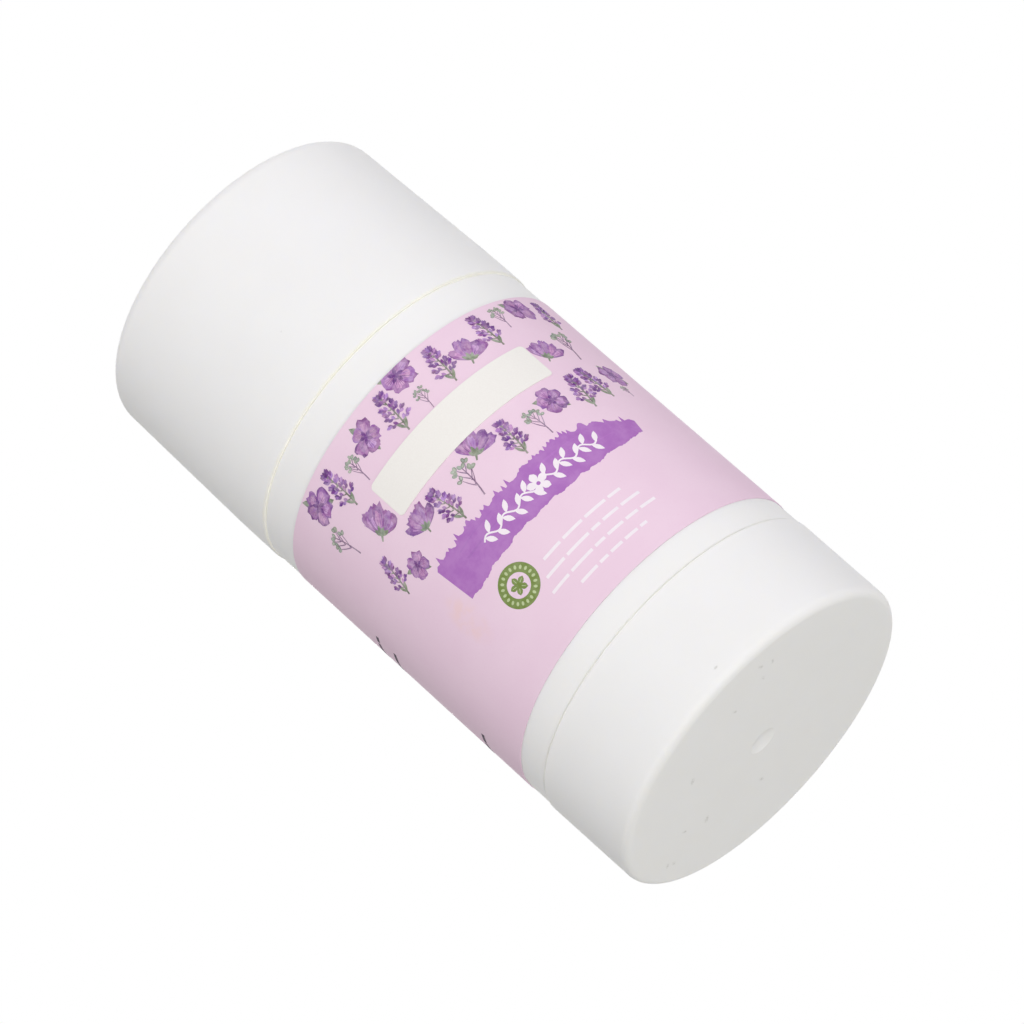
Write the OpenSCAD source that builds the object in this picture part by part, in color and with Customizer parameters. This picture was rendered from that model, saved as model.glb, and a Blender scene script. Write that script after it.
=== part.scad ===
// Twist-up deodorant stick: cap, barrel with a wrap label, turning base, screw spindle and platform.
// The axis is Z, the base stands on Z = 0, and the front of the print faces -Y.

/* [Barrel] */
// Outer diameter of the bare barrel wall
barrel_d = 49.8; // [46:0.1:56]
// Wall between the barrel's bore and its outer face
barrel_wall = 2.7; // [2.2:0.1:3.4]
// Bare band of barrel below the label
low_band_h = 4.4; // [2:0.1:10]
// Bare band of barrel above the label
high_band_h = 5.7; // [2:0.1:10]
// Wall of the neck that the cap covers
neck_wall = 1.25; // [0.9:0.05:1.5]
// Height of the neck above the barrel's shoulder
neck_h = 15.6; // [12:0.1:20]
// Height of the retaining bead above the shoulder
bead_z = 4.5; // [3:0.1:7]
// How far the retaining bead stands out of the neck
bead_out = 0.15; // [0.1:0.01:0.2]
// Wall of the skirt that runs inside the base
skirt_wall = 1.4; // [1:0.1:1.7]
// Length of the skirt below the barrel's outer wall
skirt_h = 6.7; // [5:0.1:9]
// Thickness of the web that carries the spindle
web_t = 1.6; // [1.2:0.1:2.4]
// How far the web's top lies below the barrel's outer wall
web_drop = 1.1; // [0.6:0.1:1.6]
// Number of guide ribs in the bore
rib_n = 4; // [2:1:6]
// Width of a guide rib
rib_w = 1.8; // [1.2:0.1:2.6]
// How far a guide rib stands into the bore
rib_out = 0.9; // [0.6:0.1:1.4]
// Distance from the neck's rim down to the top of the ribs
rib_drop = 2.5; // [1.5:0.1:4]

/* [Cap] */
// Height of the cap
cap_h = 32.5; // [28:0.1:42]
// How far the cap's rim stands proud of the barrel
cap_proud = 0.23; // [0.1:0.01:0.4]
// Height of the straight band above the cap's rim
cap_band_h = 7; // [5:0.5:12]
// How much the cap's radius shrinks from the band to the top
cap_draft = 0.5; // [0.3:0.05:0.8]
// Wall of the cap above the neck
cap_wall = 1.4; // [1.1:0.1:2]
// Thickness of the cap's top
cap_top_t = 1.5; // [1.2:0.1:2.4]
// Edge radius at the cap's top
cap_round = 2; // [1.6:0.1:3]

/* [Turning base] */
// Height of the base
base_h = 15.5; // [14:0.1:20]
// How far the base's upper edge stands proud of the barrel
base_proud = 0.18; // [0.1:0.01:0.4]
// How much the base's radius shrinks down to its foot
base_draft = 0.1; // [0.05:0.01:0.3]
// Thickness of the base's floor
base_floor_t = 1.6; // [1.2:0.1:2.2]
// Edge radius at the foot of the base
base_round = 1.2; // [0.8:0.1:2]
// Number of stiffening ribs in the base
base_rib_n = 6; // [4:1:10]
// Thickness of a stiffening rib
base_rib_t = 1; // [0.8:0.1:1.6]
// Height of the stiffening ribs above the floor
base_rib_h = 5; // [3:0.1:6]
// Wall of the boss round the spindle's square foot
boss_wall = 1.9; // [1.4:0.1:2.6]
// Diameter of the gate mark in the foot
gate_d = 4.4; // [3:0.1:6]
// Depth of the gate mark
gate_depth = 0.5; // [0.2:0.05:0.6]

/* [Spindle] */
// Crest diameter of the screw
thread_d = 9; // [7.5:0.1:11]
// Depth of the screw's thread
thread_depth = 1.2; // [0.9:0.1:1.5]
// Rise of the screw in one turn
lead = 5; // [4.2:0.1:6]
// Width of the thread at its root
thread_root_w = 2.6; // [2:0.1:3]
// Width of the thread at its crest
thread_crest_w = 1.2; // [0.9:0.1:1.6]
// Step from the thread's crest out to the journal
journal_step = 1; // [0.6:0.1:1.5]
// Step from the journal out to the snap collar
snap_step = 0.7; // [0.5:0.1:1]
// Height of the snap collar
snap_h = 1.5; // [1.2:0.1:2]
// Step from the journal out to the thrust flange
flange_step = 2.5; // [1.5:0.1:4]
// Thickness of the thrust flange
flange_t = 1.5; // [1.2:0.1:2]
// Width of the square foot pressed into the base
foot_w = 6; // [5:0.1:7]
// Thickness of base left below the square foot
foot_floor_t = 1.6; // [1:0.1:2.4]

/* [Platform] */
// Height of the platform from its skirt to its top
platform_h = 14.1; // [12:0.1:18]
// Thickness of the platform's plate
plate_t = 1.4; // [1:0.1:2]
// Wall of the platform's skirt
platform_wall = 1.3; // [1:0.1:2]
// Wall of the threaded hub outside the thread's crest
hub_wall = 2.2; // [1.6:0.1:3]
// Number of webs under the plate
platform_web_n = 8; // [4:1:10]
// Height of the webs under the plate
platform_web_h = 4; // [2:0.1:6]
// Number of fins that hold the stick
fin_n = 4; // [2:1:6]
// Distance of the fins from the axis
fin_at = 13; // [11:0.1:15]
// Width of a fin
fin_w = 7; // [5:0.1:9]
// Thickness of a fin
fin_t = 1.2; // [0.9:0.1:1.8]
// Height of a fin above the plate
fin_h = 8; // [5:0.1:11]
// How far below the neck's rim the platform stops
lift_margin = 7; // [5:0.1:10]
// Thread length still held by the hub at full lift
thread_grip = 10; // [8:0.1:12]

/* [Stick] */
// Rise of the domed top
dome_h = 5.5; // [4:0.1:7]
// How far the edge of the dome lies below the neck's rim
dome_drop = 0.5; // [0.3:0.1:2]
// Space above the spindle's end in the stick
core_room = 1.2; // [0.8:0.1:2]

/* [Label] */
// Height of the label
label_h = 44.7; // [38:0.1:52]
// Thickness of the label film
label_t = 0.12; // [0.1:0.01:0.16]
// Gap between the label's two ends at the back
label_gap = 1.5; // [0.5:0.1:4]
// Thickness of the printed ink
ink_t = 0.05; // [0.04:0.01:0.08]
// Arc length of the blank strip
strip_w = 29.8; // [25:0.1:36]
// Height of the blank strip
strip_h = 6.3; // [5:0.1:8]
// Corner radius of the blank strip
strip_round = 0.6; // [0.3:0.1:1]
// Thickness of the blank strip
strip_t = 0.1; // [0.08:0.01:0.14]
// Share of the label's free height that lies between the brushed band and the blank strip
low_share = 0.252; // [0.2:0.002:0.3]
// Angle of the blank strip's middle round the axis
strip_angle = 11.85; // [0:0.05:25]
// Angle of the brushed band's middle round the axis
band_angle = 13.2; // [0:0.1:25]
// Arc length of the brushed band
band_w = 36; // [30:0.5:42]
// Height of the brushed band
band_h = 7; // [5.5:0.1:8]
// Share of the label's free height that lies below the brushed band
foot_share = 0.478; // [0.42:0.002:0.54]
// Outer diameter of the round badge
badge_d = 6.2; // [5:0.1:7.4]
// Inner diameter of the badge's ring
badge_hole_d = 3.5; // [3:0.1:4.6]
// Angle of the badge round the axis
badge_angle = -13.7; // [-20:0.1:-5]
// Gap between the badge and the brushed band
badge_gap = 1.4; // [0.6:0.1:3]
// Thickness of the printed rules
rule_t = 0.3; // [0.2:0.05:0.5]
// Length of the longest pale rule
rule_l = 19; // [14:0.5:24]
// Length of the longest dark rule of the back panel
back_rule_l = 30; // [20:0.5:36]
// Length of the pale ornament on the brushed band
ornament_l = 21; // [14:0.5:24]

/* [Clearances] */
// Visible gap between the outer pieces
seam = 0.12; // [0.1:0.01:0.4]
// Radial clearance between the neck and the cap
cap_fit = 0.3; // [0.2:0.01:0.4]
// Radial clearance between the skirt and the base
base_fit = 0.2; // [0.15:0.01:0.4]
// Radial clearance of the journal in the web
journal_fit = 0.15; // [0.1:0.01:0.25]
// Clearance along the axis at the web
end_play = 0.3; // [0.2:0.01:0.4]
// Clearance of the platform and the stick in the bore
bore_fit = 0.3; // [0.2:0.01:0.4]
// Clearance of the hub's thread on the spindle
thread_fit = 0.2; // [0.15:0.01:0.3]
// Clearance between the spindle and the stick
core_fit = 0.5; // [0.3:0.05:1]

/* [Hidden] */
$fn = 96;

white = [0.945, 0.945, 0.95];
cream = [0.95, 0.94, 0.915];
pink = [0.925, 0.815, 0.905];
purple = [0.65, 0.43, 0.73];
violet = [0.52, 0.36, 0.58];
lilac = [0.58, 0.38, 0.62];
sage = [0.56, 0.63, 0.52];
olive = [0.52, 0.58, 0.33];
ink_white = [0.96, 0.9, 0.95];
ink_dark = [0.28, 0.24, 0.3];
wax = [0.96, 0.95, 0.92];

// Edge radius of thin moulded rims, and how far joined solids run into each other
rim_round = 0.25;
sink = 0.3;

barrel_r = barrel_d / 2;
bore_r = barrel_r - barrel_wall;
neck_r = bore_r + neck_wall;
skirt_r = bore_r + skirt_wall;
cap_bore_r = neck_r + cap_fit;
cap_r = barrel_r + cap_proud;
cap_top_r = cap_r - cap_draft;
base_in_r = skirt_r + base_fit;
base_top_r = barrel_r + base_proud;
base_r = base_top_r - base_draft;

barrel_z0 = base_h + seam;
label_z0 = barrel_z0 + low_band_h;
label_z1 = label_z0 + label_h;
barrel_z1 = label_z1 + high_band_h;
neck_z1 = barrel_z1 + neck_h;
cap_z0 = barrel_z1 + seam;
cap_z1 = cap_z0 + cap_h;
skirt_z0 = barrel_z0 - skirt_h;
web_z1 = barrel_z0 - web_drop;
web_z0 = web_z1 - web_t;

thread_r = thread_d / 2;
root_r = thread_r - thread_depth;
journal_r = thread_r + journal_step;
snap_z0 = web_z1 + end_play;
thread_z0 = snap_z0 + snap_h;
flange_z1 = web_z0 - end_play;
flange_z0 = flange_z1 - flange_t;
foot_z0 = foot_floor_t;
boss_r = foot_w / sqrt(2) + boss_wall;
boss_z1 = flange_z0 - end_play;

platform_z0 = web_z1 + end_play;
plate_z1 = platform_z0 + platform_h;
plate_z0 = plate_z1 - plate_t;
hub_z0 = thread_z0 + end_play;
hub_r = thread_r + hub_wall;
platform_r = bore_r - bore_fit;
stroke = neck_z1 - lift_margin - plate_z1;
thread_z1 = hub_z0 + stroke + thread_grip;
thread_first = thread_z0 + thread_root_w / 2 + sink;
stick_r = bore_r - bore_fit;
stick_edge_z = neck_z1 - dome_drop;

label_r = barrel_r + label_t;
strip_r = label_r + strip_t;

// Heights above the label's lower edge; the free height is what the strip and the band leave
free_h = label_h - strip_h - band_h;
band_z = foot_share * free_h;
strip_z = band_z + band_h + low_share * free_h;
strip_mid_z = label_z0 + strip_z + strip_h / 2;

// Fields of the print as [lower edge, height]: above the strip, beside it, and between it and the band
top_field = [label_z0 + strip_z + strip_h, label_h - strip_z - strip_h];
side_field = [label_z0 + strip_z, strip_h];
low_field = [label_z0 + band_z + band_h, strip_z - band_z - band_h];
// Size that the motifs are drawn at, from the tightest of their fields and the label's girth
motif = min(top_field[1], low_field[1], 1.3 * side_field[1], 2 * PI * label_r / 20);
blossom_d = 0.73 * motif;
spray_l = 0.94 * motif;
twig_l = 0.81 * motif;

// Angle in degrees of an arc length on the label
function arc_angle(w) = w / label_r * 180 / PI;
// Sideways place on the flat projection of an arc length on the label
function flat_x(w) = label_r * sin(arc_angle(w));
// Points of an arc about c, from angle a0 to a1
function arc(c, r, a0, a1, n = 5) =
    [for (i = [0:n]) let (a = a0 + (a1 - a0) * i / n) c + r * [cos(a), sin(a)]];

module cap() {
    bead_mid = barrel_z1 + bead_z;
    ceiling = cap_z1 - cap_top_t;
    step_z = neck_z1 + 1;
    slope = cap_draft / (cap_h - cap_band_h - cap_round);
    step_r = cap_r - slope * (step_z - cap_z0 - cap_band_h) - cap_wall;
    inner_r = cap_top_r - cap_wall;
    inner_round = cap_round - rim_round;
    color(white)
        rotate_extrude()
            polygon(concat(
                [[cap_bore_r + rim_round, cap_z0]],
                arc([cap_r - rim_round, cap_z0 + rim_round], rim_round, -90, 0),
                [[cap_r, cap_z0 + cap_band_h]],
                arc([cap_top_r - cap_round, cap_z1 - cap_round], cap_round, 0, 90, 8),
                [[0, cap_z1], [0, ceiling]],
                arc([inner_r - inner_round, ceiling - inner_round], inner_round, 90, 0),
                [[step_r, step_z + 1], [cap_bore_r, step_z]],
                bead_groove(bead_mid),
                [[cap_bore_r, cap_z0 + rim_round]]
            ));
}

// Groove that takes the bead, listed downwards
function bead_groove(z) = [
    [cap_bore_r, z + 0.9], [cap_bore_r + bead_out, z + 0.5],
    [cap_bore_r + bead_out, z - 0.5], [cap_bore_r, z - 0.9],
];

module barrel() {
    bead_mid = barrel_z1 + bead_z;
    color(white) {
        rotate_extrude()
            polygon(concat(
                [[bore_r, skirt_z0], [skirt_r - sink, skirt_z0], [skirt_r, skirt_z0 + sink]],
                [[skirt_r, barrel_z0]],
                arc([barrel_r - rim_round, barrel_z0 + rim_round], rim_round, -90, 0),
                arc([barrel_r - rim_round, barrel_z1 - rim_round], rim_round, 0, 90),
                [[neck_r, barrel_z1], [neck_r, bead_mid - 0.7], [neck_r + bead_out, bead_mid - 0.3]],
                [[neck_r + bead_out, bead_mid + 0.3], [neck_r, bead_mid + 0.7]],
                arc([neck_r - rim_round, neck_z1 - rim_round], rim_round, 0, 90),
                [[bore_r + sink, neck_z1], [bore_r, neck_z1 - sink]],
                [[bore_r, web_z1], [journal_r + journal_fit, web_z1]],
                [[journal_r + journal_fit, web_z0], [bore_r, web_z0]]
            ));
        for (i = [0:rib_n - 1])
            rotate([0, 0, i * 360 / rib_n + 180 / rib_n])
                translate([bore_r - rib_out, -rib_w / 2, web_z1 - sink])
                    cube([rib_out + sink, rib_w, neck_z1 - rib_drop - web_z1 + sink]);
    }
}

// Room that the guide ribs need in what slides past them, from z0 to z1
module rib_slots(z0, z1) {
    slot_w = rib_w + 2 * bore_fit;
    for (i = [0:rib_n - 1])
        rotate([0, 0, i * 360 / rib_n + 180 / rib_n])
            translate([bore_r - rib_out - bore_fit, -slot_w / 2, z0])
                cube([rib_out + 2 * bore_fit, slot_w, z1 - z0]);
}

module turning_base() {
    gate_ball = (pow(gate_d / 2, 2) + pow(gate_depth, 2)) / (2 * gate_depth);
    color(white)
        difference() {
            union() {
                rotate_extrude()
                    polygon(concat(
                        [[0, 0]],
                        arc([base_r - base_round, base_round], base_round, -90, 0, 8),
                        arc([base_top_r - rim_round, base_h - rim_round], rim_round, 0, 90),
                        [[base_in_r + sink, base_h], [base_in_r, base_h - sink]],
                        [[base_in_r, base_floor_t + rim_round], [base_in_r - rim_round, base_floor_t]],
                        [[0, base_floor_t]]
                    ));
                cylinder(r = boss_r, h = boss_z1);
                for (i = [0:base_rib_n - 1])
                    rotate([0, 0, i * 360 / base_rib_n])
                        translate([0, -base_rib_t / 2, base_floor_t - sink])
                            cube([base_in_r + sink, base_rib_t, base_rib_h + sink]);
            }
            translate([-foot_w / 2, -foot_w / 2, foot_z0])
                cube([foot_w, foot_w, boss_z1]);
            translate([0, 0, gate_depth - gate_ball])
                sphere(r = gate_ball);
        }
}

// Number of flat steps in one turn of a screw
screw_steps = 24;

// A core with a helical ridge, flat at z0 and z1. The ridge's middle passes the +X side at height first,
// and its ends fade over a quarter turn.
module screw(core, crest, z0, z1, first, turns, root_w, crest_w) {
    n = screw_steps;
    last = floor(turns * n);
    fade = n / 4;
    offsets = [-root_w / 2, -crest_w / 2, crest_w / 2, root_w / 2];
    function at(r, k, z) = [r * cos(360 * k / n), r * sin(360 * k / n), z];
    function out(k) = core + (crest - core) * min(1, (k + 1) / fade, (last - k + 1) / fade);
    function p(k, i) = 4 * k + i;
    low = 4 * (last + 1);
    high = low + n;
    points = concat(
        [for (k = [0:last], i = [0:3])
            at(i == 0 || i == 3 ? core : out(k), k, first + lead * k / n + offsets[i])],
        [for (j = [0:n - 1]) at(core, j, z0)],
        [for (j = [0:n - 1]) at(core, j, z1)]
    );
    faces = concat(
        [for (k = [0:last - 1], i = [0:2]) [p(k, i), p(k, i + 1), p(k + 1, i + 1)]],
        [for (k = [0:last - 1], i = [0:2]) [p(k, i), p(k + 1, i + 1), p(k + 1, i)]],
        [for (k = [0:last - n - 1]) [p(k, 3), p(k + n, 0), p(k + n + 1, 0)]],
        [for (k = [0:last - n - 1]) [p(k, 3), p(k + n + 1, 0), p(k + 1, 3)]],
        [[p(0, 0), p(0, 3), p(0, 2), p(0, 1)], [p(last, 0), p(last, 1), p(last, 2), p(last, 3)]],
        [for (j = [0:n - 2]) [low + j, p(j, 0), p(j + 1, 0)]],
        [for (j = [0:n - 2]) [low + j, p(j + 1, 0), low + j + 1]],
        [[p(n - 1, 0), p(n, 0), p(0, 3), p(0, 0), low, low + n - 1]],
        [for (j = [last - n + 1:last - 1]) [p(j, 3), high + j % n, high + (j + 1) % n]],
        [for (j = [last - n + 1:last - 1]) [p(j, 3), high + (j + 1) % n, p(j + 1, 3)]],
        [[
            p(last - n + 1, 3), p(last - n, 3), p(last, 0), p(last, 3),
            high + last % n, high + (last + 1) % n,
        ]],
        [[for (j = [0:n - 1]) low + j]],
        [[for (j = [n - 1:-1:0]) high + j]]
    );
    polyhedron(points, faces, convexity = 10);
}

module spindle() {
    turns = (thread_z1 - sink - thread_root_w / 2 - thread_first) / lead;
    color(white) {
        screw(root_r, thread_r, snap_z0, thread_z1, thread_first, turns, thread_root_w, thread_crest_w);
        translate([0, 0, snap_z0])
            cylinder(r1 = journal_r + snap_step, r2 = thread_r + snap_step / 2, h = snap_h);
        translate([0, 0, flange_z1 - sink])
            cylinder(r = journal_r, h = snap_z0 - flange_z1 + 2 * sink);
        translate([0, 0, flange_z0])
            cylinder(r = journal_r + flange_step, h = flange_t);
        translate([-foot_w / 2, -foot_w / 2, foot_z0])
            cube([foot_w, foot_w, flange_z0 + sink - foot_z0]);
    }
}

// Upright fins on the plate that key into the stick
module fins() {
    for (i = [0:fin_n - 1])
        rotate([0, 0, i * 360 / fin_n])
            translate([fin_at - fin_t / 2, -fin_w / 2, plate_z1 - sink])
                cube([fin_t, fin_w, fin_h + sink]);
}

module platform() {
    margin = 2 * lead;
    hub_l = plate_z1 - hub_z0;
    web_l = platform_r - platform_wall - hub_r + 2 * sink;
    color(white)
        difference() {
            union() {
                difference() {
                    translate([0, 0, platform_z0])
                        cylinder(r = platform_r, h = platform_h);
                    translate([0, 0, platform_z0 - 1])
                        cylinder(r = platform_r - platform_wall, h = platform_h - plate_t + 1);
                }
                translate([0, 0, hub_z0])
                    cylinder(r = hub_r, h = hub_l);
                for (i = [0:platform_web_n - 1])
                    rotate([0, 0, i * 360 / platform_web_n])
                        translate([hub_r - sink, -fin_t / 2, plate_z0 - platform_web_h])
                            cube([web_l, fin_t, platform_web_h + sink]);
                fins();
            }
            screw(
                root_r + thread_fit, thread_r + thread_fit,
                hub_z0 - margin - 2, plate_z1 + margin + 2,
                thread_first - margin, (hub_l + 2 * margin) / lead,
                thread_root_w + 2 * thread_fit, thread_crest_w + 2 * thread_fit
            );
            rib_slots(platform_z0 - 1, plate_z1 + 1);
        }
}

module stick() {
    dome_ball = (pow(stick_r, 2) + pow(dome_h, 2)) / (2 * dome_h);
    color(wax)
        difference() {
            intersection() {
                translate([0, 0, plate_z1])
                    cylinder(r = stick_r, h = stick_edge_z + dome_h - plate_z1);
                translate([0, 0, stick_edge_z + dome_h - dome_ball])
                    sphere(r = dome_ball);
            }
            translate([0, 0, plate_z1 - 1])
                cylinder(r = thread_r + core_fit, h = thread_z1 + core_room - plate_z1 + 1);
            rib_slots(plate_z1 - 1, neck_z1 + dome_h);
            fins();
        }
}

// Sleeve between two radii over the label's height
module sleeve(inner, outer) {
    difference() {
        translate([0, 0, label_z0])
            cylinder(r = outer, h = label_h);
        translate([0, 0, label_z0 - 1])
            cylinder(r = inner, h = label_h + 2);
    }
}

// A flat drawing pushed out through the label at an angle and a height
module on_label(angle, z) {
    rotate([0, 0, angle])
        translate([0, 0, z])
            rotate([90, 0, 0])
                translate([0, 0, label_r * 0.6])
                    linear_extrude(height = label_r * 0.5)
                        children();
}

// The film of ink where the children pass through the label, left open under the blank strip.
// It lies on the label, or as far above it as over says.
module ink(over = 0) {
    difference() {
        intersection() {
            sleeve(label_r + over, label_r + over + ink_t);
            union() children();
        }
        on_label(strip_angle, strip_mid_z)
            strip_outline();
    }
}

module label() {
    color(pink)
        difference() {
            sleeve(barrel_r, label_r);
            translate([-label_gap / 2, 0, label_z0 - 1])
                cube([label_gap, label_r + 1, label_h + 2]);
        }
}

module strip_outline() {
    half_w = flat_x(strip_w / 2) - strip_round;
    half_h = strip_h / 2 - strip_round;
    polygon(concat(
        arc([half_w, half_h], strip_round, 0, 90),
        arc([-half_w, half_h], strip_round, 90, 180),
        arc([-half_w, -half_h], strip_round, 180, 270),
        arc([half_w, -half_h], strip_round, 270, 360)
    ));
}

module blank_strip() {
    color(cream)
        intersection() {
            sleeve(label_r, strip_r);
            on_label(strip_angle, strip_mid_z)
                strip_outline();
        }
}

// Ragged edge of the brushed band: a slow wave with two faster ones on it
function ragged(t) = 0.45 * sin(360 * 1.7 * t + 40) + 0.35 * sin(360 * 6.3 * t) + 0.3 * sin(360 * 14.5 * t);

module brush_band() {
    n = 40;
    top_rag = band_h * 0.08;
    foot_rag = band_h * 0.045;
    function top_y(t) = band_h * (0.91 - 0.45 * pow(t, 7)) + top_rag * ragged(t);
    function foot_y(t) = band_h * 0.1 * pow(t, 10) + foot_rag * ragged(1 - t);
    color(purple)
        ink()
            on_label(band_angle, label_z0 + band_z)
                polygon(concat(
                    [for (i = [0:n]) let (t = i / n) [flat_x(band_w * (t - 0.5)), top_y(t)]],
                    [for (i = [0:n / 2]) let (t = 1 - 2 * i / n) [flat_x(band_w * 0.97 * (t - 0.5)), foot_y(t)]]
                ));
}

// Five-petalled blossom outline of radius r
module blossom(r) {
    n = 30;
    polygon([for (i = [0:n - 1]) let (a = i * 360 / n)
        r * (0.6 + 0.4 * pow(abs(cos(2.5 * a)), 0.7)) * [cos(a), sin(a)]]);
}

// Motifs are listed as [field, share of its height, angle, lean, share of the largest size].
// Pushes a flat drawing out where motif m lies
module on_field(m) {
    on_label(m[2], m[0][0] + m[0][1] * m[1])
        rotate(-m[3])
            children();
}

blossoms = [
    [top_field, 0.66, -39.5, 10, 1], [top_field, 0.56, -11, 40, 0.92], [top_field, 0.87, 9, -15, 1],
    [top_field, 0.42, 31, 25, 0.88], [top_field, 0.72, 59, 0, 0.95], [side_field, 0.66, 52, 30, 0.84],
    [side_field, 0.4, -28, 50, 0.98], [low_field, 0.63, 68, 15, 0.84], [low_field, 0.3, -31, -20, 0.74],
    [low_field, 0.71, -19, 5, 0.84], [low_field, 0.84, 9.5, 35, 0.91], [low_field, 0.57, 37, -10, 0.88],
];

module blossom_print() {
    color(lilac)
        ink()
            for (m = blossoms)
                on_field(m)
                    blossom(blossom_d / 2 * m[4]);
}

// Pointed bud of length l standing on the origin
module bud(l) {
    w = 0.2 * l;
    polygon([[0, 0], [w, 0.35 * l], [w * 0.8, 0.7 * l], [0, l], [-w * 0.8, 0.7 * l], [-w, 0.35 * l]]);
}

sprays = [
    [top_field, 0.05, -29.2, 0, 0.96], [top_field, 0.06, -0.5, 4, 0.97], [top_field, 0.1, 20.5, 4, 0.93],
    [top_field, 0.16, 41.5, -4, 0.9], [top_field, 0.12, 69.5, 6, 0.86], [low_field, 0.12, 57.5, -10, 0.92],
    [low_field, 0.22, -41, 12, 0.84], [low_field, 0.03, -9, -8, 0.93], [low_field, 0.03, 18, 4, 0.9],
    [low_field, 0.05, 47.5, 8, 0.92],
];

// Stem with pairs of buds that shrink towards its tip
module spray(l) {
    pairs = 4;
    stem_w = l * 0.034;
    translate([-stem_w / 2, 0])
        square([stem_w, l * 0.85]);
    for (i = [0:pairs - 1], side = [-1, 1])
        translate([side * stem_w * 0.3, l * (0.3 + 0.15 * i)])
            rotate(-side * (52 - 8 * i))
                bud(l * (0.27 - 0.03 * i));
    translate([0, l * 0.8])
        bud(l * 0.24);
}

module spray_print() {
    color(violet)
        ink()
            for (m = sprays)
                on_field(m)
                    spray(spray_l * m[4]);
}

twigs = [
    [top_field, 0.08, -20.2, -2, 0.76], [top_field, 0.02, 9.5, 4, 0.6], [top_field, 0.4, 49.5, 2, 0.7],
    [side_field, 0.14, 61.5, 10, 1], [side_field, 0.5, -42, -14, 0.95], [low_field, 0.05, 0, 6, 0.98],
    [low_field, 0.04, 28.6, -4, 0.8], [low_field, 0.04, 66.5, -6, 0.38],
];

// Forked stem with a berry at each tip
module twig(l) {
    stem_w = l * 0.03;
    translate([-stem_w / 2, 0])
        square([stem_w, l * 0.8]);
    for (i = [0:2], side = [-1, 1])
        translate([0, l * (0.25 + 0.17 * i)])
            rotate(-side * 38) {
                reach = l * (0.42 - 0.07 * i);
                translate([-stem_w * 0.4, 0])
                    square([stem_w * 0.8, reach]);
                translate([0, reach])
                    circle(r = l * 0.07);
            }
    translate([0, l * 0.84])
        circle(r = l * 0.08);
}

module twig_print() {
    color(sage)
        ink()
            for (m = twigs)
                on_field(m)
                    twig(twig_l * m[4]);
}

module badge_print() {
    color(olive)
        ink()
            on_label(badge_angle, label_z0 + band_z - badge_gap - badge_d / 2) {
                difference() {
                    circle(d = badge_d);
                    circle(d = badge_hole_d);
                }
                blossom(badge_hole_d * 0.38);
            }
}

// Pale rules under the band: height as a share of the band's own, and length as a share of the longest
rules = [[0.667, 0.74], [0.533, 0.9], [0.4, 1], [0.26, 0.63]];

// A straight printed line of arc length l
module rule(l) {
    square([2 * flat_x(l / 2), rule_t], center = true);
}

// Blossom between two stems of arc length l in all, with leaves by turns above and below
module garland(l) {
    leaves = 5;
    pitch = l * 0.4 / leaves;
    blossom(band_h * 0.2);
    for (side = [-1, 1]) {
        translate([side * l * 0.3, 0])
            rule(l * 0.4);
        for (i = [1:leaves])
            translate([side * (l * 0.07 + pitch * i), 0])
                rotate(-side * (i % 2 == 0 ? 42 : 138))
                    bud(band_h * 0.3);
    }
}

module line_print() {
    color(ink_white) {
        ink()
            for (r = rules)
                on_label(band_angle, label_z0 + band_z * r[0])
                    rule(rule_l * r[1]);
        ink(ink_t)
            on_label(band_angle, label_z0 + band_z + band_h * 0.43)
                garland(ornament_l);
    }
}

// Dark rules of the back panel: share of the label's height, angle of the front end, share of the length
back_rules = [
    [0.631, -73, 1], [0.555, -74, 1], [0.478, -92, 0.7], [0.402, -90, 0.73], [0.326, -90, 0.73],
    [0.25, -91, 0.6], [0.168, -72, 1],
];

module back_print() {
    color(ink_dark)
        ink()
            for (r = back_rules)
                on_label(r[1] - arc_angle(back_rule_l * r[2] / 2), label_z0 + label_h * r[0])
                    rule(back_rule_l * r[2]);
}

cap();
barrel();
turning_base();
spindle();
platform();
stick();
label();
blank_strip();
brush_band();
blossom_print();
spray_print();
twig_print();
badge_print();
line_print();
back_print();
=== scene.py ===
"""Twist-up deodorant stick: finishes, printed label, lights and view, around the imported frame."""

import math
import random

import bmesh
import bpy
from mathutils import Matrix, Vector


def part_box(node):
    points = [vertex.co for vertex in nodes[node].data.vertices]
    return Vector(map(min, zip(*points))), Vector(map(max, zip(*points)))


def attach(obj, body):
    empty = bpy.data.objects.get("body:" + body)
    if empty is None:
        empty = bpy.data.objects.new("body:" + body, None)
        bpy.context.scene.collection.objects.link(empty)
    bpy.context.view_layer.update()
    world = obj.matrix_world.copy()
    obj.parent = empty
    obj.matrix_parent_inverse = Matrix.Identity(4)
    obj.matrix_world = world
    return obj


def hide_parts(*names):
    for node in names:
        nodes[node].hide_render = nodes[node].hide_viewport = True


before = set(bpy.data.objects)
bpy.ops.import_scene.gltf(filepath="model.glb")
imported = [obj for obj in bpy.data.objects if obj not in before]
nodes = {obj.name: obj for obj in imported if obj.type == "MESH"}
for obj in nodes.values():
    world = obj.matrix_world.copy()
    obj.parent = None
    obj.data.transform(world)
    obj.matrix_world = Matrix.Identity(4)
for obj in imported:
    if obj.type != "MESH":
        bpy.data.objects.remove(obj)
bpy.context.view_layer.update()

# All shapes are in metres; flat drawings for the label are in millimetres
MM = 0.001

# The photograph's camera: what it aims at, from where, and how it is rolled
PHOTO_SIZE = 1024
FOCAL_PX = 5044.6
AIM_PX = (503.0, 510.3)
AIM = Vector((0, 0, 50 * MM))
DISTANCE = 684.4 * MM
BELOW_HORIZON = math.radians(23.8)
ROLL = math.radians(-48.42)
SENSOR_MM = 36


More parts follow.
